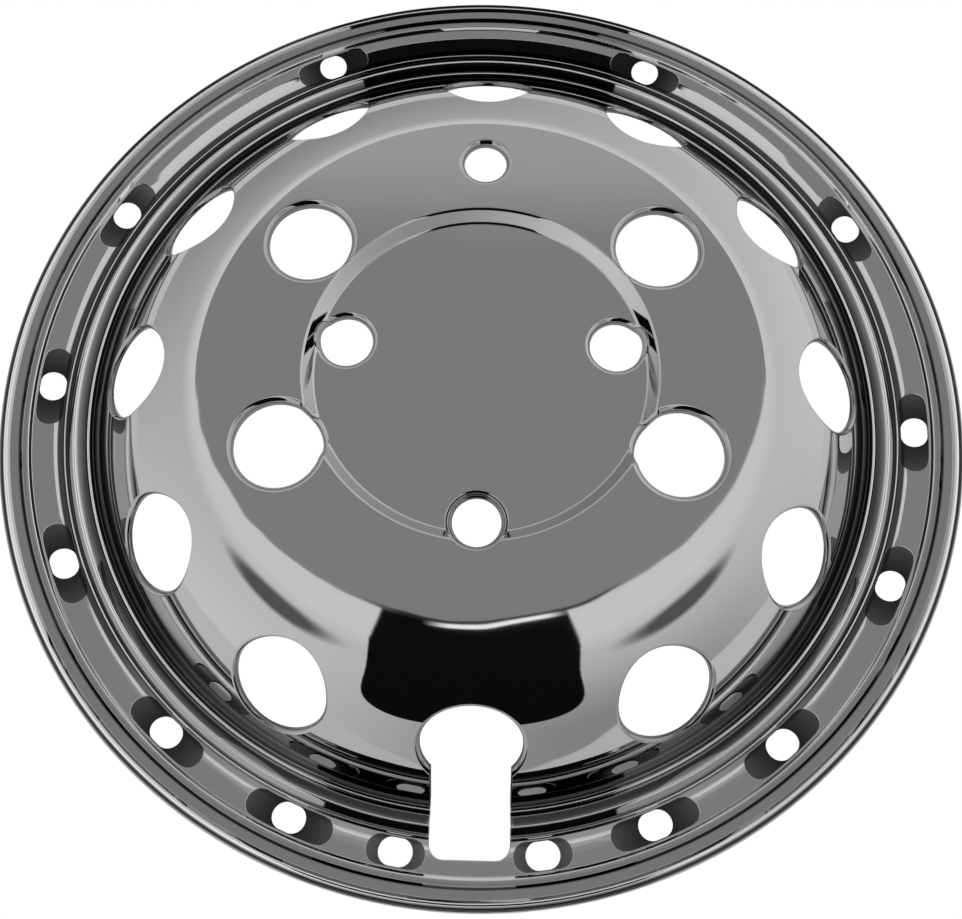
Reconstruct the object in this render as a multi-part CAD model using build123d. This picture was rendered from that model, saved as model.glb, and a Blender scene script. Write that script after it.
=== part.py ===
from build123d import *
import os
from math import cos, hypot, radians, sin, tan

# One-piece stamped cover for a truck wheel, lying dome up.
# The axis is Z, the floor is Z = 0 and the valve slot points to -Y. Millimetres.

# Sheet and overall size
OUTER_D = 440.0  # outside of the turned-down lip
TOTAL_H = 39.0  # floor to the face of the disc
SHEET_T = 0.8

# Lip, hole band, bead and valley, from the outside in
LIP_Z = 14.0  # crest of the lip above the floor
SKIRT_H = 7.5  # edge turned down at the outside
LIP_W = 9.0
LIP_DROP = 2.6
RIM_STEP_W = 1.2
RIM_STEP_H = 2.2
BAND_W = 17.1  # down to the groove behind it
BAND_DROP = 6.6
BEAD_W = 5.2
BEAD_H = 1.8
VALLEY_RISE_W = 4.6  # side of the bead that faces the valley
VALLEY_W = 3.2

# Dome
WALL_ANGLE = 44.0  # slope of the conical wall
SHOULDER_R = 48.0  # round bend from the wall to the disc
SHOULDER_STEPS = 4  # conical strips that make up the bend
RECESS_D = 155.4
RECESS_DEPTH = 5.8
RECESS_SLOPE_W = 4.2

# Hand holes, square to the wall; the first one carries the valve slot
HAND_HOLE_N = 12
HAND_HOLE_D = 42.0
HAND_HOLE_Z = 24.0  # centre above the floor
SLOT_W = 33.0
SLOT_END = 18.5  # from the outside of the lip to the end of the slot
SLOT_CORNER_R = 6.0

# Lug nut holes in two mirrored pairs, and one small hole, with their edges drawn down
LUG_HOLE_D = 37.4
UPPER_LUG_X = 158.0  # from hole to hole across the disc
UPPER_LUG_Y = 59.5
LOWER_LUG_X = 171.0
LOWER_LUG_Y = -38.0
LUG_COLLAR_H = 8.6
TOP_HOLE_D = 19.6
TOP_HOLE_Y = 103.0
TOP_COLLAR_H = 4.5

# Small holes in the recess; the lowest one has a round pocket that breaks into the slope
SIDE_HOLE_D = 23.0
SIDE_HOLE_X = 120.0
SIDE_HOLE_Y = 13.0
FOOT_HOLE_D = 20.8
FOOT_HOLE_Y = -68.5
POCKET_D = 29.0
POCKET_DEPTH = 1.0  # below the floor of the recess

# Rim holes in the band
RIM_HOLE_D = 12.4
RIM_HOLE_IN = 18.6  # from the outside of the lip to the hole centres
LEFT_RIM_HOLES = (24.2, 63.0, 90.3, 115.0, 140.5, 158.5, 171.5)  # degrees from the top
RIGHT_RIM_HOLES = (24.2, 63.0, 94.3, 115.5, 140.0, 158.0, 171.5)

# Room for cutters to pass right through the sheet
CUT_CLEAR = 30.0


def shoulder(corner):
    """Points of the bend at the top of the wall, on the tangents of its arc."""
    step = radians(WALL_ANGLE) / SHOULDER_STEPS
    centre_r = corner[0] - SHOULDER_R * tan(radians(WALL_ANGLE) / 2)
    centre_z = corner[1] - SHOULDER_R
    reach = SHOULDER_R / cos(step / 2)
    turns = [(i + 0.5) * step for i in range(SHOULDER_STEPS)]
    return [(centre_r + reach * sin(turn), centre_z + reach * cos(turn)) for turn in turns]


def wall_foot():
    """Where the wall of the dome meets the valley."""
    rim_w = LIP_W + RIM_STEP_W + BAND_W + BEAD_W / 2 + VALLEY_RISE_W + VALLEY_W
    return (OUTER_D / 2 - rim_w, SHEET_T)


def press_line():
    """Corners of the upper face, from the axis out to the edge of the lip."""
    lip_r = OUTER_D / 2
    recess_z = TOTAL_H - RECESS_DEPTH
    foot = wall_foot()
    wall_run = (TOTAL_H - foot[1]) / tan(radians(WALL_ANGLE))
    dome = [(0, recess_z), (RECESS_D / 2 - RECESS_SLOPE_W, recess_z), (RECESS_D / 2, TOTAL_H)]
    dome += shoulder((foot[0] - wall_run, TOTAL_H))
    lip_in = (lip_r - LIP_W, LIP_Z - LIP_DROP)
    band_out = (lip_in[0] - RIM_STEP_W, lip_in[1] - RIM_STEP_H)
    groove = (band_out[0] - BAND_W, band_out[1] - BAND_DROP)
    bead = (groove[0] - BEAD_W / 2, groove[1] + BEAD_H)
    rim = [foot, (foot[0] + VALLEY_W, SHEET_T), bead, groove, band_out, lip_in]
    return dome + rim + [(lip_r, LIP_Z), (lip_r, LIP_Z - SKIRT_H)]


def line_below(points, gap):
    """The same line, moved square to itself to run `gap` below the given one."""
    steps = [(b[0] - a[0], b[1] - a[1]) for a, b in zip(points, points[1:])]
    sides = [(dy / hypot(dx, dy), -dx / hypot(dx, dy)) for dx, dy in steps]
    moved = []
    for point, before, after in zip(points, sides[:1] + sides, sides + sides[-1:]):
        share = gap / (1 + before[0] * after[0] + before[1] * after[1])
        moved.append((point[0] + share * (before[0] + after[0]), point[1] + share * (before[1] + after[1])))
    return moved


def filled_under(points, edge_r):
    """Solid of revolution that fills all the space under a line, out to `edge_r`."""
    end = points[-1]
    edge = [(edge_r, end[1])] if edge_r > end[0] else []
    floor = [(edge_r, -CUT_CLEAR), (0, -CUT_CLEAR)]
    outline = Polyline(*points, *edge, *floor, close=True)
    return revolve(Plane.XZ * make_face(outline), Axis.Z)


def upright(diameter, foot_z, top_z):
    """Upright round cutter between two heights."""
    return Pos(0, 0, foot_z) * extrude(Circle(diameter / 2), top_z - foot_z)


def drawn_cutters(gap):
    """Cutters for the drawn holes and the pocket, `gap` larger all round.

    Without a gap they pass right through. With one they end at the edge of the collar,
    so that what is left between the two sets is a collar as thick as the gap.
    """
    over_z = TOTAL_H + CUT_CLEAR
    holes = [(0, TOP_HOLE_Y, TOP_HOLE_D, TOP_COLLAR_H)]
    for side in (-0.5, 0.5):
        holes.append((side * UPPER_LUG_X, UPPER_LUG_Y, LUG_HOLE_D, LUG_COLLAR_H))
        holes.append((side * LOWER_LUG_X, LOWER_LUG_Y, LUG_HOLE_D, LUG_COLLAR_H))
    cutters = []
    for x, y, diameter, collar_h in holes:
        foot_z = TOTAL_H - collar_h if gap else -CUT_CLEAR
        cutters.append(Pos(x, y) * upright(diameter + 2 * gap, foot_z, over_z))
    pocket_z = TOTAL_H - RECESS_DEPTH - POCKET_DEPTH - gap
    return cutters + [Pos(0, FOOT_HOLE_Y) * upright(POCKET_D + 2 * gap, pocket_z, over_z)]


def hand_hole_frames():
    """A plane at each hand hole, square to the wall, with the first one at the valve slot."""
    slope = radians(WALL_ANGLE)
    foot = wall_foot()
    centre_r = foot[0] - (HAND_HOLE_Z - foot[1]) / tan(slope)
    for i in range(HAND_HOLE_N):
        turn = radians(-90 + i * 360 / HAND_HOLE_N)
        place = (centre_r * cos(turn), centre_r * sin(turn), HAND_HOLE_Z)
        along = (-sin(turn), cos(turn), 0)
        normal = (cos(turn) * sin(slope), sin(turn) * sin(slope), cos(slope))
        yield Plane(place, x_dir=along, z_dir=normal)


def hand_holes():
    return [frame * upright(HAND_HOLE_D, -CUT_CLEAR, CUT_CLEAR) for frame in hand_hole_frames()]


def recess_holes():
    over_z = TOTAL_H + CUT_CLEAR
    side_hole = upright(SIDE_HOLE_D, -CUT_CLEAR, over_z)
    holes = [Pos(side * SIDE_HOLE_X, SIDE_HOLE_Y) * side_hole for side in (-0.5, 0.5)]
    return holes + [Pos(0, FOOT_HOLE_Y) * upright(FOOT_HOLE_D, -CUT_CLEAR, over_z)]


def rim_holes():
    """Cutters for the rim holes, on one circle."""
    hole = Pos(OUTER_D / 2 - RIM_HOLE_IN, 0) * upright(RIM_HOLE_D, -CUT_CLEAR, LIP_Z + CUT_CLEAR)
    turns = [90 + angle for angle in LEFT_RIM_HOLES] + [90 - angle for angle in RIGHT_RIM_HOLES]
    return [Rot(0, 0, turn) * hole for turn in turns]


def valve_slot():
    """Cutter from the first hand hole out into the band."""
    start = next(hand_hole_frames()).origin.Y
    end = SLOT_END - OUTER_D / 2
    outline = RectangleRounded(SLOT_W, start - end + SLOT_CORNER_R, SLOT_CORNER_R)
    return Pos(0, (start + end + SLOT_CORNER_R) / 2, -CUT_CLEAR) * extrude(outline, TOTAL_H + 2 * CUT_CLEAR)


def wheel_simulator():
    """The sheet is what lies between the upper face and the same face moved in by its thickness."""
    upper_line = press_line()
    lower_line = line_below(upper_line, SHEET_T)
    upper = filled_under(upper_line, OUTER_D / 2) - drawn_cutters(0)
    lower = filled_under(lower_line, OUTER_D / 2 + CUT_CLEAR) - drawn_cutters(SHEET_T)
    return upper - lower - hand_holes() - recess_holes() - rim_holes() - [valve_slot()]


os.makedirs("parts", exist_ok=True)
export_step(wheel_simulator(), "parts/wheel_simulator.step")
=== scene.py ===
from math import atan2, ceil, cos, pi, radians, sin, tan

import bpy
import numpy as np
from mathutils import Matrix, Vector
from mathutils.geometry import delaunay_2d_cdt


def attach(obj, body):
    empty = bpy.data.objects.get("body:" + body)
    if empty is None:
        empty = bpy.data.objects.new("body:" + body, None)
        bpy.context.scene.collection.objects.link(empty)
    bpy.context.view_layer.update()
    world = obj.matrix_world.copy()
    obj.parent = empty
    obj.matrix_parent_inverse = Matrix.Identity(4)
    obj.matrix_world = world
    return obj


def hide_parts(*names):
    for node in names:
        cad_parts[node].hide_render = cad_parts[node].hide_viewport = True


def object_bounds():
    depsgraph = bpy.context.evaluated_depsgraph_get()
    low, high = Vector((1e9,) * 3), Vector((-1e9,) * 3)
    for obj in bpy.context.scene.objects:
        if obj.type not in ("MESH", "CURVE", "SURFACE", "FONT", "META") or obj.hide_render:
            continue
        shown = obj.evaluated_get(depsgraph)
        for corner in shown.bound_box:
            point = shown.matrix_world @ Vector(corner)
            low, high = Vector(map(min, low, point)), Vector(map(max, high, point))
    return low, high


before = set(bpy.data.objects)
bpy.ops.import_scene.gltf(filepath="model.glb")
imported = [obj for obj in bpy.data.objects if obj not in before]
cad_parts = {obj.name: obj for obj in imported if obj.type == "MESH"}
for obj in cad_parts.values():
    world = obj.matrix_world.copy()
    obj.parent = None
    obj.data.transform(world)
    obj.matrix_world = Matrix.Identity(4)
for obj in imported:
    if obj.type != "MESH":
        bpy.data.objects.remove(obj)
cad_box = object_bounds()

# Sizes are in millimetres, in the frame of the solid. The axis is Z and the valve slot points to -Y.
MM = 0.001
NODE = "wheel_simulator"
SHEET_T = 0.8
OUTER_R = 220.0
TOTAL_H = 39.0
RECESS_Z = 33.2
WALL_FOOT_R = 182.3
WALL_ANGLE = radians(44.0)
WALL_TOP_R = WALL_FOOT_R - (TOTAL_H - SHEET_T) / tan(WALL_ANGLE)
SKIRT_END_Z = 6.5

# Corners of the upper face from the axis outwards: radius, height and bend radius
SECTION = (
    (0.0, RECESS_Z, 0.0),
    (73.5, RECESS_Z, 1.8),
    (77.7, TOTAL_H, 1.8),
    (WALL_TOP_R, TOTAL_H, 48.0),
    (WALL_FOOT_R, SHEET_T, 0.8),
    (182.9, SHEET_T, 0.4),
    (184.2, 3.0, 0.9),
    (185.9, 1.3, 0.7),
    (190.1, 4.5, 1.4),
    (193.3, 3.2, 0.4),
    (194.1, 4.7, 0.5),
    (195.2, 3.7, 0.4),
    (199.5, 5.6, 30.0),
    (203.4, 7.0, 30.0),
    (207.5, 8.1, 0.6),
    (208.3, 9.6, 0.5),
    (210.6, 10.2, 0.5),
    (211.6, 11.6, 0.8),
    (215.2, 12.4, 0.5),
    (216.6, 13.9, 0.8),
    (218.4, 12.8, 0.4),
    (219.2, 13.3, 0.4),
    (OUTER_R, 12.6, 0.6),
    (OUTER_R, SKIRT_END_Z, 0.0),
)
BEND_STEP = radians(15.0)
WIDE_BEND_STEP = radians(4.0)
WIDE_BEND_R = 10.0
RUN_STEP = 5.0  # longest straight stretch between two rings
COLUMNS = 192  # stretches round the axis

# Hand holes, and the valve slot that runs out of the first one
HAND_HOLE_N = 12
HAND_HOLE_R = 21.0
HAND_HOLE_Z = 24.0
HAND_MOUTH_R = 2.0
SLOT_HALF_W = 16.5
SLOT_END_R = 201.5
SLOT_CORNER_R = 6.0
SLOT_MOUTH_R = 0.4
EDGE_H = 0.5  # straight edge at the end of a rounded mouth

# Lug nut holes and small holes, placed as in the solid, with short rounded mouths
LUG_R = 18.7
LUG_PLACES = ((-79.0, 59.5), (79.0, 59.5), (-85.5, -38.0), (85.5, -38.0))
LUG_MOUTH_R = 3.0
TOP_HOLE = (0.0, 103.0)
TOP_HOLE_R = 9.8
TOP_MOUTH_R = 2.7
SIDE_HOLES = ((-60.0, 13.0), (60.0, 13.0))
SIDE_HOLE_R = 11.5
SIDE_MOUTH_R = 2.6
FOOT_HOLE = (0.0, -68.5)
FOOT_HOLE_R = 10.4
FOOT_MOUTH_R = 1.2
POCKET_R = 12.6
POCKET_Z = 32.5
POCKET_EDGE_R = 1.0
POCKET_BEND_R = 0.8

# Rim holes, each in an oblong seat that is pressed into the band
RIM_CIRCLE_R = 201.4
LEFT_RIM_HOLES = (24.2, 63.0, 90.3, 115.0, 140.5, 158.5, 171.5)  # degrees from the top
RIGHT_RIM_HOLES = (24.2, 63.0, 94.3, 115.5, 140.0, 158.0, 171.5)
RIM_HOLE_HALF_L = 7.0
RIM_HOLE_HALF_W = 5.2
RIM_MOUTH_R = 0.2
SEAT_HALF_L = 19.0
SHORT_SEAT_HALF_L = 12.0  # beside the valve slot
SEAT_HALF_W = 5.35
SEAT_EDGE = 0.3
SEAT_Z = 5.6
SEAT_TILT = radians(19.5)
# Rows down the side of a seat: share of the way in, share of the way down, weight of the face's normal
SEAT_SIDE = ((0.35, 0.1, 0.7), (0.5, 0.5, 0.0), (0.65, 0.9, 0.0))
SEAT_LEVEL_FROM = 0.2  # share of the way down at which the side starts to turn level
SEAT_FLOOR = (0.0, 0.33, 0.67)  # rows on the floor of a seat, as shares of the way in to the hole

# Painted shade laid into the colour of the seats and hole mouths, together with a duller finish, where 1
# is full shade and fully dull
SHADE_AND_DULL_MARK = "shade_and_dull"
SEAT_SHADE_AND_DULL = 1.0
SHORT_SEAT_SHADE_AND_DULL = 0.85
SEAT_SHADE_EASE = 0.22  # share of the painted shade and dullness that fades away at the ends of a seat
MOUTH_SHADE_AND_DULL = 0.8  # painted shade and dullness at the end of a rounded mouth

# How finely the holes are meshed
FLARE_STEPS = 5
RIM_FLARE_STEPS = 2
SMALL_LOOP = 48
LARGE_LOOP = 64
LUG_LOOP = 120
KEY_ARC = 96
KEY_SIDE = 70
KEY_BEND = 9
KEY_FOOT = 10
DEPTH_ROUNDS = 12  # to find where a hand hole meets the face

# How the holes are let into the grid of the face
NEAR_LOOP = 0.5  # grid cells this close to the edge of a hole are meshed again
HIDDEN_BY_LOOP = 0.15  # grid points this close to the edge are left out
LOOP_ROOM = 2.0  # how far round a hole grid points are looked at
SIDE_PARTS = 8  # points on each side of a hole's edge
STRETCH_PARTS = 9  # points of a grid line that have to keep clear of the holes
FILL_ALL = 0  # kind of output with all triangles
FILL_TOUCH = 1e-7
TINY = 1e-6

UP = np.array((0.0, 0.0, 1.0))


def unit(v):
    return v / np.linalg.norm(v, axis=-1, keepdims=True)


def turned(v, angle):
    """A section vector turned to the left by an angle."""
    return np.array((v[0] * cos(angle) - v[1] * sin(angle), v[0] * sin(angle) + v[1] * cos(angle)))


def sampled_section():
    """Points and outward normals along the section, with each bend as an arc."""
    corners = [np.array(c[:2]) for c in SECTION]
    samples = []

    def straight(start, end, normal):
        parts = max(1, ceil(np.linalg.norm(end - start) / RUN_STEP))
        samples.extend((start + (end - start) * k / parts, normal) for k in range(parts))

    start = corners[0]
    for before, corner, after, size in zip(corners, corners[1:], corners[2:], SECTION[1:]):
        way_in = unit(corner - before)
        way_out = unit(after - corner)
        turn = atan2(way_in[0] * way_out[1] - way_in[1] * way_out[0], way_in @ way_out)
        bend = size[2]
        reach = bend * tan(abs(turn) / 2)
        normal = np.array((-way_in[1], way_in[0]))
        arc_start = corner - way_in * reach
        straight(start, arc_start, normal)
        step = WIDE_BEND_STEP if bend > WIDE_BEND_R else BEND_STEP
        parts = max(2, ceil(abs(turn) / step))
        side = 1 if turn > 0 else -1
        centre = arc_start + side * bend * normal
        for k in range(parts):
            now = turned(normal, turn * k / parts)
            samples.append((centre - side * bend * now, now))
        start = corner + way_out * reach
    last = corners[-1]
    way = unit(last - start)
    normal = np.array((-way[1], way[0]))
    straight(start, last, normal)
    samples.append((last, normal))
    points = np.array([point for point, _ in samples])
    normals = np.array([normal for _, normal in samples])
    return points, normals


LINE, LINE_NORMAL = sampled_section()
LINE_S = np.concatenate(([0.0], np.cumsum(np.linalg.norm(np.diff(LINE, axis=0), axis=1))))
GRAPH = LINE[:, 0] < OUTER_R - TINY  # the part of the section that rises to one side only


def on_face(s, angle):
    """Places and normals on the upper face, from the length along the section and the angle."""
    r = np.interp(s, LINE_S, LINE[:, 0])
    z = np.interp(s, LINE_S, LINE[:, 1])
    nr = np.interp(s, LINE_S, LINE_NORMAL[:, 0])
    nz = np.interp(s, LINE_S, LINE_NORMAL[:, 1])
    place = np.stack((r * np.cos(angle), r * np.sin(angle), z), -1)
    normal = np.stack((nr * np.cos(angle), nr * np.sin(angle), nz), -1)
    return place, unit(normal)


def length_at(x, y):
    """Length along the section over points of the ground plan."""
    return np.interp(np.hypot(x, y), LINE[GRAPH, 0], LINE_S[GRAPH])


def over(x, y):
    """Places and normals of the upper face over points of the ground plan."""
    return on_face(length_at(x, y), np.arctan2(y, x))


def flat_plan(place):
    """Points of the unrolled plan, where the radius is the length along the section."""
    x, y = place[:, 0], place[:, 1]
    s = length_at(x, y)
    angle = np.arctan2(y, x)
    return np.stack((s * np.cos(angle), s * np.sin(angle)), -1)


def turns(count):
    return np.arange(count) * 2 * pi / count


def outward(count):
    """Level directions all round."""
    angle = turns(count)
    return np.stack((np.cos(angle), np.sin(angle), np.zeros(count)), -1)


def mouth_rows(centre, out, down, normals, radius, mouth_r, levels):
    """Rows of a rounded mouth that turns into a hole, from the face to the straight wall."""
    rows = []
    for k in range(FLARE_STEPS + 1):
        a = k / FLARE_STEPS * pi / 2
        reach = radius + mouth_r * (1 - sin(a))
        place = centre + out * reach + down * (levels + mouth_r * (1 - cos(a)))[:, None]
        rows.append((place, unit(normals * cos(a) - out * sin(a))))
    return rows


def upright_hole(place, radius, mouth_r, count, end_z=None):
    """Drawn hole with a rounded mouth and a short edge, or a wall down to a level."""
    out = outward(count)
    centre = np.array((place[0], place[1], 0.0))
    wide = centre + out * (radius + mouth_r)
    face, normals = over(wide[:, 0], wide[:, 1])
    rows = mouth_rows(centre, out, -UP, normals, radius, mouth_r, -face[:, 2])
    foot = rows[-1][0]
    drop = foot[:, 2] - end_z if end_z else EDGE_H
    rows.append((foot - UP * np.reshape(drop, (-1, 1)), -out))
    return rows


def pocket_hole(place, count):
    """Small hole in a round pocket whose wall rises to whatever stands round it."""
    out = outward(count)
    rows = upright_hole(place, POCKET_R, POCKET_EDGE_R, count, POCKET_Z + POCKET_BEND_R)
    centre = np.array((place[0], place[1], 0.0))
    for k in range(1, FLARE_STEPS + 1):
        a = k / FLARE_STEPS * pi / 2
        reach = POCKET_R - POCKET_BEND_R * (1 - cos(a))
        level = POCKET_Z + POCKET_BEND_R * (1 - sin(a))
        rows.append((centre + out * reach + UP * level, unit(UP * sin(a) - out * cos(a))))
    levels = np.full(count, -POCKET_Z)
    normals = np.tile(UP, (count, 1))
    mouth = mouth_rows(centre, out, -UP, normals, FOOT_HOLE_R, FOOT_MOUTH_R, levels)
    return rows + mouth + [(mouth[-1][0] - UP * EDGE_H, -out)]


def hand_hole_frame(index):
    """Centre, direction along the rim, direction up the wall and normal of a hand hole."""
    angle = -pi / 2 + index * 2 * pi / HAND_HOLE_N
    r = WALL_FOOT_R - (HAND_HOLE_Z - SHEET_T) / tan(WALL_ANGLE)
    out = np.array((cos(angle), sin(angle), 0.0))
    along = np.array((-sin(angle), cos(angle), 0.0))
    normal = out * sin(WALL_ANGLE) + UP * cos(WALL_ANGLE)
    centre = out * r + UP * HAND_HOLE_Z
    return centre, along, np.cross(normal, along), normal


def hand_loop(index, reach, count):
    """Where a round tool square to the wall meets the face: directions, depths and normals."""
    centre, along, rise, normal = hand_hole_frame(index)
    angle = turns(count)
    out = along * np.cos(angle)[:, None] + rise * np.sin(angle)[:, None]
    depth = np.zeros(count)
    for _ in range(DEPTH_ROUNDS):
        place = centre + out * reach - normal * depth[:, None]
        face, tilt = over(place[:, 0], place[:, 1])
        depth += (place[:, 2] - face[:, 2]) * cos(WALL_ANGLE)
    return centre, out, normal, depth, tilt


def hand_hole(index, count):
    """Hand hole with its edge turned in, square to the wall."""
    centre, out, normal, depth, tilt = hand_loop(index, HAND_HOLE_R + HAND_MOUTH_R, count)
    rows = mouth_rows(centre, out, -normal, tilt, HAND_HOLE_R, HAND_MOUTH_R, depth)
    rows.append((rows[-1][0] - normal * EDGE_H, -out))
    return rows


def oblong_reach(angle, half_l, half_w):
    """Distance from the middle of an oblong with round ends to its edge, in a direction."""
    c = np.abs(np.cos(angle))
    s = np.abs(np.sin(angle))
    end = half_l - half_w
    side = half_w / np.maximum(s, TINY)
    round_end = end * c + np.sqrt(np.maximum(half_w ** 2 - (end * s) ** 2, 0.0))
    return np.where(side * c <= end, side, round_end)


def rim_hole(direction, half_l, shade_and_dull, count):
    """Rows of a rim hole in an oblong seat that is pressed into the band, and its marks of painted shade
    and dullness.
    """
    angle = turns(count)

    def plan(reach):
        """Angles and radii at a distance from the hole centre, measured along the band and across it."""
        return direction + reach * np.cos(angle) / RIM_CIRCLE_R, RIM_CIRCLE_R - reach * np.sin(angle)

    def on_seat(reach):
        """Places and normals on the floor of the seat."""
        around, r = plan(reach)
        z = SEAT_Z + (r - RIM_CIRCLE_R) * tan(SEAT_TILT)
        place = np.stack((r * np.cos(around), r * np.sin(around), z), -1)
        lean = -sin(SEAT_TILT)
        level = np.full(count, cos(SEAT_TILT))
        return place, np.stack((lean * np.cos(around), lean * np.sin(around), level), -1)

    def mark(reach):
        return shade_and_dull * (1 - SEAT_SHADE_EASE * (reach * np.cos(angle) / half_l) ** 2)

    edge = oblong_reach(angle, half_l + SEAT_EDGE, SEAT_HALF_W + SEAT_EDGE)
    floor_edge = oblong_reach(angle, half_l, SEAT_HALF_W)
    around, r = plan(edge)
    face, tilt = over(r * np.cos(around), r * np.sin(around))
    seat, level = on_seat(floor_edge)
    drop = seat - face
    side = unit(np.cross(np.roll(face, -1, 0) - np.roll(face, 1, 0), drop))
    rows = [(face, tilt)]
    for inward, downward, top_share in SEAT_SIDE:
        place = face + drop * np.array((inward, inward, downward))
        level_share = max(0.0, downward - SEAT_LEVEL_FROM)
        side_share = 1.0 - abs(2 * downward - 1)
        rows.append((place, unit(tilt * top_share + level * level_share + side * side_share)))
    marks = [np.zeros(count)] * len(SEAT_SIDE) + [mark(floor_edge)]
    hole = oblong_reach(angle, RIM_HOLE_HALF_L, RIM_HOLE_HALF_W)
    inner = hole + RIM_MOUTH_R - floor_edge
    for share in SEAT_FLOOR:
        rows.append(on_seat(floor_edge + inner * share))
        marks.append(mark(floor_edge + inner * share))
    centre = on_seat(np.zeros(count))[0]
    for k in range(RIM_FLARE_STEPS + 1):
        a = k / RIM_FLARE_STEPS * pi / 2
        place, level = on_seat(hole + RIM_MOUTH_R * (1 - sin(a)))
        out = unit((place - centre) * np.array((1.0, 1.0, 0.0)))
        rows.append((place - UP * RIM_MOUTH_R * (1 - cos(a)), unit(level * cos(a) - out * sin(a))))
        marks.append(mark(hole))
    return rows, marks


def key_outline(mouth_r, slot_mouth_r):
    """Edge of the first hand hole and the valve slot on the face, moved out by two distances."""
    centre, along, rise = hand_hole_frame(0)[:3]
    reach = HAND_HOLE_R + mouth_r
    half_w = SLOT_HALF_W + slot_mouth_r
    start = np.arcsin(half_w / reach) - pi / 2
    angle = np.linspace(start, pi - start, KEY_ARC)
    ring = centre + reach * (along * np.cos(angle)[:, None] + rise * np.sin(angle)[:, None])
    corner_y = SLOT_CORNER_R - SLOT_END_R
    corner_x = SLOT_HALF_W - SLOT_CORNER_R
    corner_r = SLOT_CORNER_R + slot_mouth_r
    side_y = np.linspace(ring[-1, 1], corner_y, KEY_SIDE)[1:]
    bend = np.linspace(0.0, pi / 2, KEY_BEND)
    bend_x = corner_x + corner_r * np.cos(bend)
    bend_y = corner_y - corner_r * np.sin(bend)
    foot_x = np.linspace(corner_x, -corner_x, KEY_FOOT)[1:-1]
    foot_y = np.full(len(foot_x), bend_y[-1])
    left_x = np.concatenate((np.full(len(side_y), -half_w), -bend_x[1:]))
    left_y = np.concatenate((side_y, bend_y[1:]))
    x = np.concatenate((ring[:, 0], left_x, -foot_x, -left_x[::-1]))
    y = np.concatenate((ring[:, 1], left_y, foot_y, left_y[::-1]))
    return over(x, y)


def key_hole():
    """First hand hole and valve slot, with a rounded mouth that fades along the slot."""
    wide, tilt = key_outline(HAND_MOUTH_R, SLOT_MOUTH_R)
    edge, face = key_outline(0.0, 0.0)
    inward = edge - wide
    room = np.minimum(wide[:, 2:], edge[:, 2:]) - EDGE_H
    depth = np.minimum(np.linalg.norm(inward, axis=1, keepdims=True), room)
    out = -unit(inward)
    rows = []
    for k in range(FLARE_STEPS + 1):
        a = k / FLARE_STEPS * pi / 2
        place = wide + inward * sin(a) - face * depth * (1 - cos(a))
        rows.append((place, unit(tilt * cos(a) - out * sin(a))))
    rows.append((rows[-1][0] - face * EDGE_H, -out))
    return rows


def all_patches():
    """Rows of every hole, from its edge on the face down to its end, and how much painted shade and
    dullness each row has.
    """
    holes = [upright_hole(p, LUG_R, LUG_MOUTH_R, LUG_LOOP) for p in LUG_PLACES]
    holes += [upright_hole(p, SIDE_HOLE_R, SIDE_MOUTH_R, SMALL_LOOP) for p in SIDE_HOLES]
    holes.append(upright_hole(TOP_HOLE, TOP_HOLE_R, TOP_MOUTH_R, SMALL_LOOP))
    holes.append(pocket_hole(FOOT_HOLE, LARGE_LOOP))
    holes += [hand_hole(k, LARGE_LOOP) for k in range(1, HAND_HOLE_N)]
    holes.append(key_hole())
    patches = []
    # Painted shade and dullness grow down the mouth of each hole
    for rows in holes:
        steps = np.linspace(0.0, MOUTH_SHADE_AND_DULL, len(rows))
        patches.append((rows, [np.full(len(row[0]), step) for row, step in zip(rows, steps)]))
    for side, angles in ((1, LEFT_RIM_HOLES), (-1, RIGHT_RIM_HOLES)):
        for angle in angles[:-1]:
            patches.append(rim_hole(radians(90 + side * angle), SEAT_HALF_L, SEAT_SHADE_AND_DULL, LARGE_LOOP))
        last = radians(90 + side * angles[-1])
        patches.append(rim_hole(last, SHORT_SEAT_HALF_L, SHORT_SEAT_SHADE_AND_DULL, LARGE_LOOP))
    return patches


def inside(points, loop):
    """Which points of the plan lie inside a closed loop."""
    x, y = points[:, 0], points[:, 1]
    found = np.zeros(len(points), bool)
    for (ax, ay), (bx, by) in zip(loop, np.roll(loop, -1, 0)):
        crosses = (ay > y) != (by > y)
        if ay != by:
            found ^= crosses & (x < (bx - ax) * (y - ay) / (by - ay) + ax)
    return found


def with_sides(loop):
    """The corners of a closed loop and points along its sides."""
    step = np.roll(loop, -1, 0) - loop
    return np.concatenate([loop + step * k / SIDE_PARTS for k in range(SIDE_PARTS)])


def distance_to(points, loop):
    """Distance from points of the plan to the nearest corner of a closed loop."""
    return np.sqrt(((points[:, None] - loop[None]) ** 2).sum(-1)).min(1)


def close_to(points, loop):
    """Numbers of the points of the plan that lie in the box round a closed loop."""
    low = loop.min(0) - LOOP_ROOM
    high = loop.max(0) + LOOP_ROOM
    return np.nonzero(((points > low) & (points < high)).all(1))[0]


def clear_of(starts, ends, loops):
    """Which straight stretches of the plan keep clear of all the loops."""
    clear = np.ones(len(starts), bool)
    for loop in loops:
        fine = with_sides(loop)
        for share in np.linspace(0.0, 1.0, STRETCH_PARTS):
            points = starts + (ends - starts) * share
            close = close_to(points, loop)
            within = inside(points[close], loop)
            clear[close] &= ~within & (distance_to(points[close], fine) > HIDDEN_BY_LOOP)
    return clear


def cell_of(points, ring_s):
    """Row and column of the grid cells that hold points of the plan."""
    ring = np.searchsorted(ring_s, np.hypot(points[:, 0], points[:, 1])) - 1
    share = (np.arctan2(points[:, 1], points[:, 0]) + pi / 2) % (2 * pi) / (2 * pi)
    column = np.floor(share * COLUMNS).astype(int) % COLUMNS
    return np.clip(ring, 0, len(ring_s) - 2), column


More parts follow.
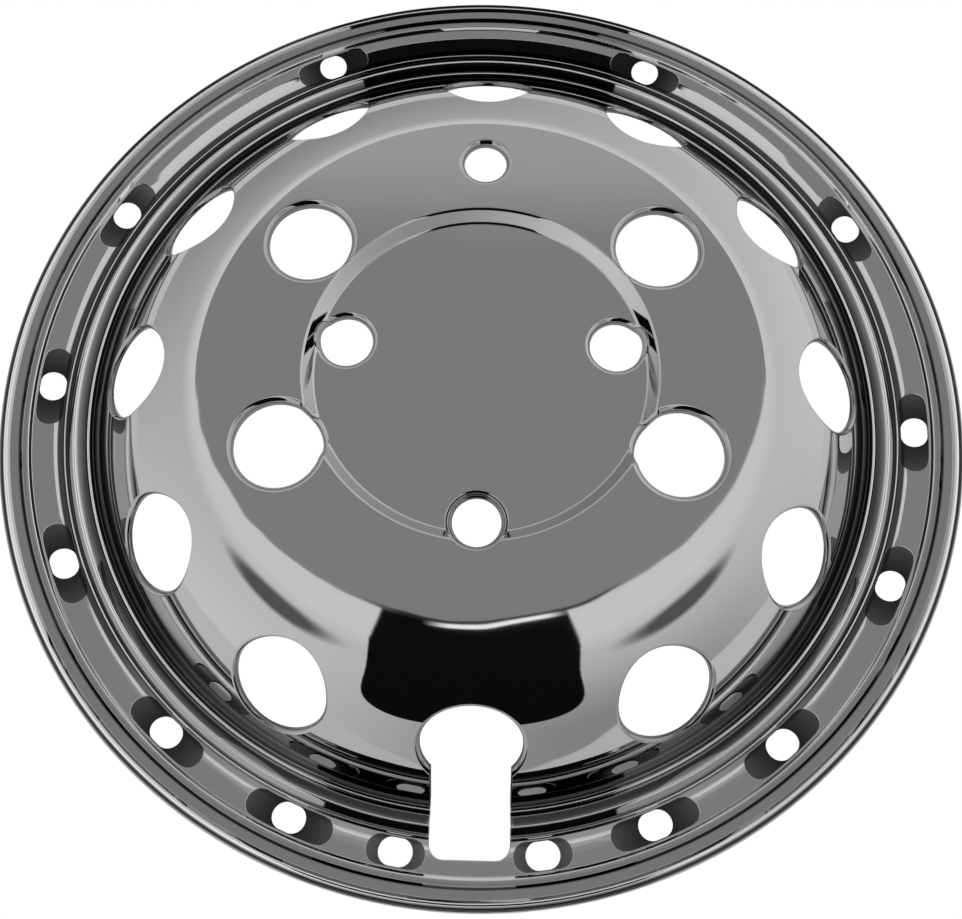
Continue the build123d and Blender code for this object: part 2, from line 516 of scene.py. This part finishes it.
def cells_at_holes(plan, cells, loops, ring_s):
    """Which grid cells are meshed again for the holes, and which grid points the holes take away."""
    near = np.zeros(len(plan), bool)
    hidden = np.zeros(len(plan), bool)
    crossed = np.zeros(cells.shape[:2], bool)
    for loop in loops:
        fine = with_sides(loop)
        close = close_to(plan, loop)
        distance = distance_to(plan[close], fine)
        within = inside(plan[close], loop)
        near[close] |= within | (distance < NEAR_LOOP)
        hidden[close] |= within | (distance < HIDDEN_BY_LOOP)
        crossed[cell_of(fine, ring_s)] = True
    return crossed | near[cells].any(-1), hidden


def edges_of(cells, gone):
    """Outer edges of the cells that are meshed again, all their corners and their stretches of rings."""
    edges = []
    corners = set()
    stretches = set()
    for i, j in zip(*np.nonzero(gone)):
        a, b, c, d = cells[i, j]
        sides = (
            (a, b, gone[i, j - 1]),
            (c, d, gone[i, (j + 1) % COLUMNS]),
            (b, c, i + 1 < len(gone) and gone[i + 1, j]),
            (d, a, i > 0 and gone[i - 1, j]),
        )
        edges += [(p, q) for p, q, shared in sides if not shared]
        corners.update((a, b, c, d))
        stretches.update(((a, d), (b, c)))
    return edges, corners, stretches


def filled(points, edges, gone, loops, ring_s):
    """Triangles that keep the given edges, in the cells that are meshed again and outside the holes."""
    found = delaunay_2d_cdt([Vector(p) for p in points], edges, [], FILL_ALL, FILL_TOUCH)
    origin = np.array([o[0] if o else -1 for o in found[3]])
    triangles = origin[np.array(found[2])]
    triangles = triangles[(triangles >= 0).all(1)]
    middle = points[triangles].mean(1)
    keep = gone[cell_of(middle, ring_s)]
    for loop in loops:
        keep &= ~inside(middle, loop)
    for a, b, c in triangles[keep]:
        area = np.cross(points[b] - points[a], points[c] - points[a])
        yield [a, b, c] if area > 0 else [a, c, b]


def shell_surface():
    """The upper face: places, normals, marks of painted shade and dullness, faces and the loops where the
    sheet ends.
    """
    ring_s = LINE_S[1:]
    rings = len(ring_s)
    grid_s, grid_angle = np.meshgrid(ring_s, -pi / 2 + turns(COLUMNS), indexing="ij")
    places, normals = on_face(grid_s.ravel(), grid_angle.ravel())
    plan = np.stack((grid_s * np.cos(grid_angle), grid_s * np.sin(grid_angle)), -1).reshape(-1, 2)
    index = np.arange(rings * COLUMNS).reshape(rings, COLUMNS)
    right = np.roll(index, -1, 1)
    cells = np.stack((index[:-1], index[1:], right[1:], right[:-1]), -1)

    patches = all_patches()
    loops = [flat_plan(rows[0][0]) for rows, _ in patches]
    gone, hidden = cells_at_holes(plan, cells, loops, ring_s)
    faces = [tuple(c) for c in cells[~gone]]
    edges, corners, stretches = edges_of(cells, gone)
    rim = {p for edge in edges for p in edge}
    source = sorted(p for p in corners if p in rim or not hidden[p])
    place_of = {p: k for k, p in enumerate(source)}
    fill_points = [plan[source]]
    fill_edges = [(place_of[p], place_of[q]) for p, q in edges]
    stretches = np.array([s for s in sorted(stretches) if s[0] in place_of and s[1] in place_of])
    clear = clear_of(plan[stretches[:, 0]], plan[stretches[:, 1]], loops)
    fill_edges += [(place_of[p], place_of[q]) for p, q in stretches[clear]]

    total = len(places)
    all_places = [places]
    all_normals = [normals]
    all_marks = [np.zeros(total)]
    ends = []
    for (rows, marks), loop in zip(patches, loops):
        count = len(loop)
        base = len(source)
        fill_points.append(loop)
        fill_edges += [(base + k, base + (k + 1) % count) for k in range(count)]
        source += range(total, total + count)
        ids = []
        for (place, normal), mark in zip(rows, marks):
            ids.append(list(range(total, total + count)))
            all_places.append(place)
            all_normals.append(normal)
            all_marks.append(mark)
            total += count
        for upper, lower in zip(ids, ids[1:]):
            for k in range(count):
                nxt = (k + 1) % count
                faces.append((upper[k], upper[nxt], lower[nxt], lower[k]))
        ends.append(ids[-1])
    source = np.array(source)
    fill_points = np.concatenate(fill_points)
    faces += [tuple(source[t]) for t in filled(fill_points, fill_edges, gone, loops, ring_s)]

    all_places.append(np.array([[0.0, 0.0, RECESS_Z]]))
    all_normals.append(np.array([UP]))
    all_marks.append(np.zeros(1))
    faces += [(total, index[0, j], right[0, j]) for j in range(COLUMNS)]
    ends.append(list(index[-1][::-1]))
    points = [np.concatenate(part) for part in (all_places, all_normals, all_marks)]
    return *points, faces, ends


def sheet_mesh(name):
    """The sheet, with its upper face, the same face moved in by the thickness, and the cut edges."""
    places, normals, marks, faces, ends = shell_surface()
    count = len(places)
    lower = places - normals * SHEET_T
    corner_normals = []
    polygons = []
    for face in faces:
        polygons.append(tuple(int(p) for p in face))
        corner_normals += [normals[p] for p in face]
    for face in faces:
        back = face[::-1]
        polygons.append(tuple(int(p) + count for p in back))
        corner_normals += [-normals[p] for p in back]
    for loop in ends:
        ring = places[loop]
        way = unit(np.roll(ring, -1, 0) - np.roll(ring, 1, 0))
        out = unit(np.cross(way, -normals[loop]))
        for k, p in enumerate(loop):
            nxt = (k + 1) % len(loop)
            q = loop[nxt]
            polygons.append((int(p), int(q), int(q) + count, int(p) + count))
            corner_normals += [out[k], out[nxt], out[nxt], out[k]]
    mesh = bpy.data.meshes.new(name)
    mesh.from_pydata(np.concatenate((places, lower)) * MM, [], polygons)
    mesh.polygons.foreach_set("use_smooth", np.ones(len(polygons), bool))
    mesh.normals_split_custom_set([tuple(n) for n in corner_normals])
    # Marks of painted shade and dullness, kept on the mesh for the material
    shade_and_dull = mesh.attributes.new(SHADE_AND_DULL_MARK, "FLOAT", "POINT")
    shade_and_dull.data.foreach_set("value", np.concatenate((marks, marks)))
    mesh.validate()
    return mesh


def build_cover():
    cover = bpy.data.objects.new("polished_cover", sheet_mesh("polished_cover"))
    bpy.context.scene.collection.objects.link(cover)
    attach(cover, "root")
    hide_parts(NODE)
    return cover


def put(tree, socket, value):
    """Set a socket to a number or colour, or link it to the output of another node."""
    if isinstance(value, bpy.types.NodeSocket):
        tree.links.new(value, socket)
    else:
        socket.default_value = value


def worked_out(tree, operation, *values):
    """Output of a Math node."""
    node = tree.nodes.new("ShaderNodeMath")
    node.operation = operation
    for socket, value in zip(node.inputs, values):
        put(tree, socket, value)
    return node.outputs["Value"]


def mixed(tree, kind, share, a, b):
    """Output of a Mix node of a kind, which goes from a to b."""
    node = tree.nodes.new("ShaderNodeMix")
    node.data_type = kind
    put(tree, node.inputs["Factor"], share)
    put(tree, node.inputs["A"], a)
    put(tree, node.inputs["B"], b)
    return node.outputs["Result"]


def ranged(tree, value, span, new_span, kind="LINEAR"):
    """Output of a Map Range node, from one span to another."""
    node = tree.nodes.new("ShaderNodeMapRange")
    node.interpolation_type = kind
    put(tree, node.inputs["Value"], value)
    for name, level in zip(("From Min", "From Max", "To Min", "To Max"), span + new_span):
        put(tree, node.inputs[name], level)
    return node.outputs["Result"]


# How much light the metal returns at a radius: its plain grey, with painted shade low in the grooves and
# painted highlights high on the crests
POLISHED = 0.56
METAL_GREY_AND_PAINTED_BANDS = (
    (171.0, POLISHED),
    (172.6, 0.45),
    (174.2, 0.08),
    (176.0, 0.05),
    (183.2, 0.05),
    (183.9, 0.85),
    (184.5, 0.85),
    (185.0, 0.06),
    (186.8, 0.08),
    (188.6, 0.22),
    (189.6, 0.85),
    (190.5, 0.85),
    (190.9, 0.32),
    (192.8, 0.32),
    (193.1, 0.06),
    (193.8, 0.06),
    (194.1, 0.85),
    (194.7, 0.85),
    (195.0, 0.05),
    (197.2, 0.05),
    (197.6, POLISHED),
    (207.5, POLISHED),
    (207.8, 0.95),
    (208.5, 0.95),
    (208.9, POLISHED),
    (210.7, 0.4),
    (211.0, 0.05),
    (211.6, 0.05),
    (212.0, 0.5),
    (215.8, 0.5),
    (216.3, 0.98),
    (217.2, 0.98),
)
# Painted shade and highlights on the lip, in the same way
OUTER_METAL_GREY_AND_PAINTED_BANDS = (
    (217.2, 0.98),
    (217.7, 0.3),
    (218.2, 0.06),
    (218.8, 0.06),
    (219.4, 0.5),
)
RED_SHARE = 0.99  # red in the metal's grey, as a share of its green and blue
# Painted shade: the near-black colour that the seats and hole mouths are darkened towards
RECESS_SHADE_TONE = (0.035, 0.036, 0.036, 1.0)
# On the side of the valve slot the grooves get painted light, a lighter grey in place of their painted
# shade
SLOT_SIDE_PAINTED_LIGHT = (0.42, 0.425, 0.425, 1.0)
SLOT_SIDE_SHARE = 0.62
SLOT_SIDE_FULL_Y = -182.0
SLOT_SIDE_START_Y = -118.0
SLOT_SIDE_END_R = 198.0
# Smudges in the polish, and the faint waves of a pressed sheet
SMUDGE_SCALE = 14.0
SMUDGE_DETAIL = 4.0
SMUDGE_ROUGH = (0.01, 0.03)
SEAT_ROUGH = 0.12  # added where the finish is dull
WAVE_SCALE = 26.0
WAVE_DETAIL = 1.0
WAVE_H = 0.1


def polished_metal():
    """Mirror polish with painted shade in the grooves and seats, painted highlights along the crests, and
    a duller finish in the seats.
    """
    material = bpy.data.materials.new("polished_sheet_metal")
    material.use_nodes = True
    tree = material.node_tree
    nodes = tree.nodes
    links = tree.links
    shader = nodes["Principled BSDF"]
    shader.inputs["Metallic"].default_value = 1.0
    where = nodes.new("ShaderNodeTexCoord").outputs["Object"]
    plan = nodes.new("ShaderNodeVectorMath")
    plan.operation = "MULTIPLY"
    plan.inputs[1].default_value = (1.0, 1.0, 0.0)
    links.new(where, plan.inputs[0])
    length = nodes.new("ShaderNodeVectorMath")
    length.operation = "LENGTH"
    links.new(plan.outputs["Vector"], length.inputs[0])
    radius = length.outputs["Value"]

    def grey_and_painted_band_ramp(table):
        """Grey, with painted shade and highlights, from a table of radii and levels."""
        start = table[0][0]
        end = table[-1][0]
        ramp = nodes.new("ShaderNodeValToRGB")
        stops = ramp.color_ramp.elements
        for r, _ in table[1:-1]:
            stops.new((r - start) / (end - start))
        for stop, (_, level) in zip(stops, table):
            stop.color = (level * RED_SHARE, level, level, 1.0)
        links.new(ranged(tree, radius, (start * MM, end * MM), (0.0, 1.0)), ramp.inputs["Fac"])
        return ramp.outputs["Color"]

    def noise(scale, detail):
        node = nodes.new("ShaderNodeTexNoise")
        node.inputs["Scale"].default_value = scale
        node.inputs["Detail"].default_value = detail
        links.new(where, node.inputs["Vector"])
        return node.outputs["Fac"]

    # Painted shade in the grooves and painted highlights on the crests, by radius
    outside = worked_out(tree, "GREATER_THAN", radius, OUTER_METAL_GREY_AND_PAINTED_BANDS[0][0] * MM)
    grey_and_painted_bands = mixed(tree, "RGBA", outside, grey_and_painted_band_ramp(METAL_GREY_AND_PAINTED_BANDS), grey_and_painted_band_ramp(OUTER_METAL_GREY_AND_PAINTED_BANDS))
    # Painted light in the grooves on the side of the valve slot
    split = nodes.new("ShaderNodeSeparateXYZ")
    links.new(where, split.inputs["Vector"])
    slot_span = (SLOT_SIDE_START_Y * MM, SLOT_SIDE_FULL_Y * MM)
    slot_side = ranged(tree, split.outputs["Y"], slot_span, (0.0, SLOT_SIDE_SHARE))
    in_grooves = worked_out(tree, "LESS_THAN", radius, SLOT_SIDE_END_R * MM)
    slot_share = worked_out(tree, "MULTIPLY", slot_side, in_grooves)
    grey_and_painted_bands = mixed(tree, "RGBA", slot_share, grey_and_painted_bands, SLOT_SIDE_PAINTED_LIGHT)
    # Painted shade in the seats and hole mouths: the mark mixes the colour towards the near-black tone,
    # and also adds roughness
    mark = nodes.new("ShaderNodeAttribute")
    mark.attribute_name = SHADE_AND_DULL_MARK
    shade_and_dull = mark.outputs["Fac"]
    links.new(mixed(tree, "RGBA", shade_and_dull, grey_and_painted_bands, RECESS_SHADE_TONE), shader.inputs["Base Color"])
    smudge = ranged(tree, noise(SMUDGE_SCALE, SMUDGE_DETAIL), (0.0, 1.0), SMUDGE_ROUGH)
    rough = worked_out(tree, "MULTIPLY_ADD", shade_and_dull, SEAT_ROUGH, smudge)
    links.new(rough, shader.inputs["Roughness"])
    press = nodes.new("ShaderNodeBump")
    press.inputs["Distance"].default_value = WAVE_H * MM
    links.new(noise(WAVE_SCALE, WAVE_DETAIL), press.inputs["Height"])
    links.new(press.outputs["Normal"], shader.inputs["Normal"])
    return material


# Floor, in metres
FLOOR_HALF = 6.0
FLOOR_GAP = 0.0004  # between the floor and the cover
FLOOR_TONE = (0.8, 0.8, 0.8, 1.0)
FLOOR_ROUGH = 0.9
FLOOR_IN_METAL = 0.6  # share of plain white that the metal mirrors in the floor


def studio_floor():
    """Pale floor under the cover, plain white to the camera."""
    mesh = bpy.data.meshes.new("studio_floor")
    half = FLOOR_HALF
    level = cad_box[0][2] - FLOOR_GAP
    corners = [(-half, -half, level), (half, -half, level), (half, half, level), (-half, half, level)]
    mesh.from_pydata(corners, [], [(0, 1, 2, 3)])
    floor = bpy.data.objects.new("studio_floor", mesh)
    bpy.context.scene.collection.objects.link(floor)
    material = bpy.data.materials.new("studio_floor_white")
    material.use_nodes = True
    tree = material.node_tree
    nodes = tree.nodes
    links = tree.links
    paint = nodes["Principled BSDF"]
    paint.inputs["Base Color"].default_value = FLOOR_TONE
    paint.inputs["Roughness"].default_value = FLOOR_ROUGH
    plain = nodes.new("ShaderNodeEmission")
    path = nodes.new("ShaderNodeLightPath").outputs
    through = worked_out(tree, "MAXIMUM", path["Is Glossy Ray"], path["Is Transmission Ray"])
    in_metal = worked_out(tree, "MULTIPLY", through, FLOOR_IN_METAL)
    mix = nodes.new("ShaderNodeMixShader")
    links.new(worked_out(tree, "MAXIMUM", path["Is Camera Ray"], in_metal), mix.inputs["Fac"])
    links.new(paint.outputs["BSDF"], mix.inputs[1])
    links.new(plain.outputs["Emission"], mix.inputs[2])
    links.new(mix.outputs["Shader"], nodes["Material Output"].inputs["Surface"])
    mesh.materials.append(material)


# The studio that the metal mirrors, in slopes from the upright. A pair is where a fade starts and ends.
LOWEST = 0.01  # height under which a direction counts as level
WALL_TONE = 0.8
WALL_FALL = 0.28  # how much darker the walls are in front and behind
WALL_LEAN = 0.42  # how much brighter the walls are at the near left and the far right
# Shaded patches on either side
SHADE_MIDDLE = (0.47, -0.13)
SHADE_FADE = (0.1, 0.22)
SHADE_TONE = 0.14
# Dark shape in front
DARK_LEAN = radians(-27)
DARK_HALF_H = 0.66
DARK_HALF_W = 0.283
DARK_LEAST_HALF_W = 0.02
DARK_SPREAD = 0.26
DARK_MIDDLE = -0.01
DARK_ROUND = 3.4
DARK_FADE = (0.97, 1.03)
DARK_TONE = 0.006
# Round ceiling, with a brighter rear part, a bright ring of wall and a dark line along its near edge
CEILING_MIDDLE = (-0.0166, 0.473)
CEILING_R = 0.353
CEILING_FADE = (CEILING_R - 0.002, CEILING_R)
CEILING_TONE = 0.34
REAR_TONE = 0.54
REAR_FADE = (0.58, 0.74)
RING_FADE = (CEILING_R, 2 * CEILING_R)
RING_TONE = 0.95
EDGE_LINE_R = 0.3485
EDGE_LINE_FADE = (0.15, 0.18)
EDGE_LINE_SIDE_FADE = (0.1, 0.17)
EDGE_LINE_TONE = 0.03
# Thin bright gap between the ceiling and the dark shape
GAP_FADE = (0.3562, 0.3572)
GAP_SIDE_FADE = (0.05, 0.085)
GAP_MIDDLE = 0.015
GAP_TONE = 1.5


def studio_world():
    """Pale walls with the ceiling, the gap and the dark shape laid over them, and white to the camera."""
    world = bpy.data.worlds.new("studio")
    bpy.context.scene.world = world
    world.use_nodes = True
    tree = world.node_tree
    nodes = tree.nodes
    links = tree.links
    nodes.clear()
    where = nodes.new("ShaderNodeTexCoord")
    split = nodes.new("ShaderNodeSeparateXYZ")
    links.new(where.outputs["Generated"], split.inputs["Vector"])
    x, y, z = (split.outputs[axis] for axis in "XYZ")

    def calc(operation, *values):
        return worked_out(tree, operation, *values)

    def laid_over(level, top, where_top):
        return mixed(tree, "FLOAT", where_top, level, top)

    def fade(value, span):
        """1 below the start of a span, 0 above its end."""
        return ranged(tree, value, span, (1.0, 0.0), "SMOOTHSTEP")

    def away_from(middle, across, rear):
        """Distance from a middle."""
        across = calc("SUBTRACT", across, middle[0])
        rear = calc("SUBTRACT", rear, middle[1])
        return calc("SQRT", calc("MULTIPLY_ADD", across, across, calc("MULTIPLY", rear, rear)))

    def dark_side():
        """1 in the dark shape in front, which is narrow overhead and broad lower down."""
        along = calc("MULTIPLY_ADD", y, cos(DARK_LEAN), calc("MULTIPLY", z, -sin(DARK_LEAN)))
        toward = calc("MULTIPLY_ADD", y, sin(DARK_LEAN), calc("MULTIPLY", z, cos(DARK_LEAN)))
        half = calc("MULTIPLY_ADD", along, -DARK_SPREAD, DARK_HALF_W)
        half = calc("MAXIMUM", half, DARK_LEAST_HALF_W)
        across = calc("DIVIDE", calc("SUBTRACT", x, DARK_MIDDLE), half)
        up = calc("DIVIDE", along, DARK_HALF_H)
        powers = [calc("POWER", calc("ABSOLUTE", part), DARK_ROUND) for part in (across, up)]
        size = calc("ADD", *powers)
        return calc("MULTIPLY", fade(size, DARK_FADE), calc("GREATER_THAN", toward, 0.0))

    above = calc("MAXIMUM", z, LOWEST)
    flat_x = calc("DIVIDE", x, above)
    flat_y = calc("DIVIDE", y, above)
    reach = away_from(CEILING_MIDDLE, flat_x, flat_y)
    walls = calc("MULTIPLY_ADD", calc("MULTIPLY", y, y), -WALL_FALL, WALL_TONE)
    walls = calc("MULTIPLY_ADD", calc("MULTIPLY", x, y), WALL_LEAN, walls)
    walls = laid_over(walls, RING_TONE, fade(reach, RING_FADE))
    shade = away_from(SHADE_MIDDLE, calc("ABSOLUTE", flat_x), flat_y)
    walls = laid_over(walls, SHADE_TONE, fade(shade, SHADE_FADE))
    level = laid_over(walls, DARK_TONE, dark_side())
    off_middle = calc("ABSOLUTE", calc("SUBTRACT", flat_x, GAP_MIDDLE))
    gap = calc("MULTIPLY", fade(reach, GAP_FADE), fade(off_middle, GAP_SIDE_FADE))
    level = laid_over(level, GAP_TONE, gap)
    ceiling = laid_over(REAR_TONE, CEILING_TONE, fade(flat_y, REAR_FADE))
    line = calc("MULTIPLY", fade(flat_y, EDGE_LINE_FADE), fade(off_middle, EDGE_LINE_SIDE_FADE))
    line = calc("MULTIPLY", line, calc("GREATER_THAN", reach, EDGE_LINE_R))
    ceiling = laid_over(ceiling, EDGE_LINE_TONE, line)
    level = laid_over(level, ceiling, fade(reach, CEILING_FADE))
    path = nodes.new("ShaderNodeLightPath")
    sky = nodes.new("ShaderNodeBackground")
    links.new(laid_over(level, 1.0, path.outputs["Is Camera Ray"]), sky.inputs["Color"])
    end = nodes.new("ShaderNodeOutputWorld")
    links.new(sky.outputs["Background"], end.inputs["Surface"])


# Camera, fitted to the rings and holes of the photograph
CAMERA_PLACE = Vector((4.7, -154.4, 396.5)) * MM
CAMERA_TURN = radians(1.78)
CAMERA_TILT = radians(17.3)
CAMERA_ROLL = radians(-0.46)
CAMERA_CLIP = 0.01
FOCAL_PX = 893.0
PICTURE_W = 962.0
SENSOR_W = 36.0


def photo_camera():
    data = bpy.data.cameras.new("photo_camera")
    data.sensor_width = SENSOR_W
    data.sensor_fit = "HORIZONTAL"
    data.lens = FOCAL_PX / PICTURE_W * SENSOR_W
    data.clip_start = CAMERA_CLIP
    camera = bpy.data.objects.new("photo_camera", data)
    bpy.context.scene.collection.objects.link(camera)
    turn = Matrix.Rotation(CAMERA_TURN, 4, "Z")
    tilt = Matrix.Rotation(CAMERA_TILT, 4, "X")
    roll = Matrix.Rotation(CAMERA_ROLL, 4, "Z")
    camera.matrix_world = Matrix.Translation(CAMERA_PLACE) @ turn @ tilt @ roll
    bpy.context.scene.camera = camera


cover = build_cover()
cover.data.materials.append(polished_metal())
studio_floor()
studio_world()
photo_camera()
bpy.context.scene.view_settings.view_transform = "Standard"
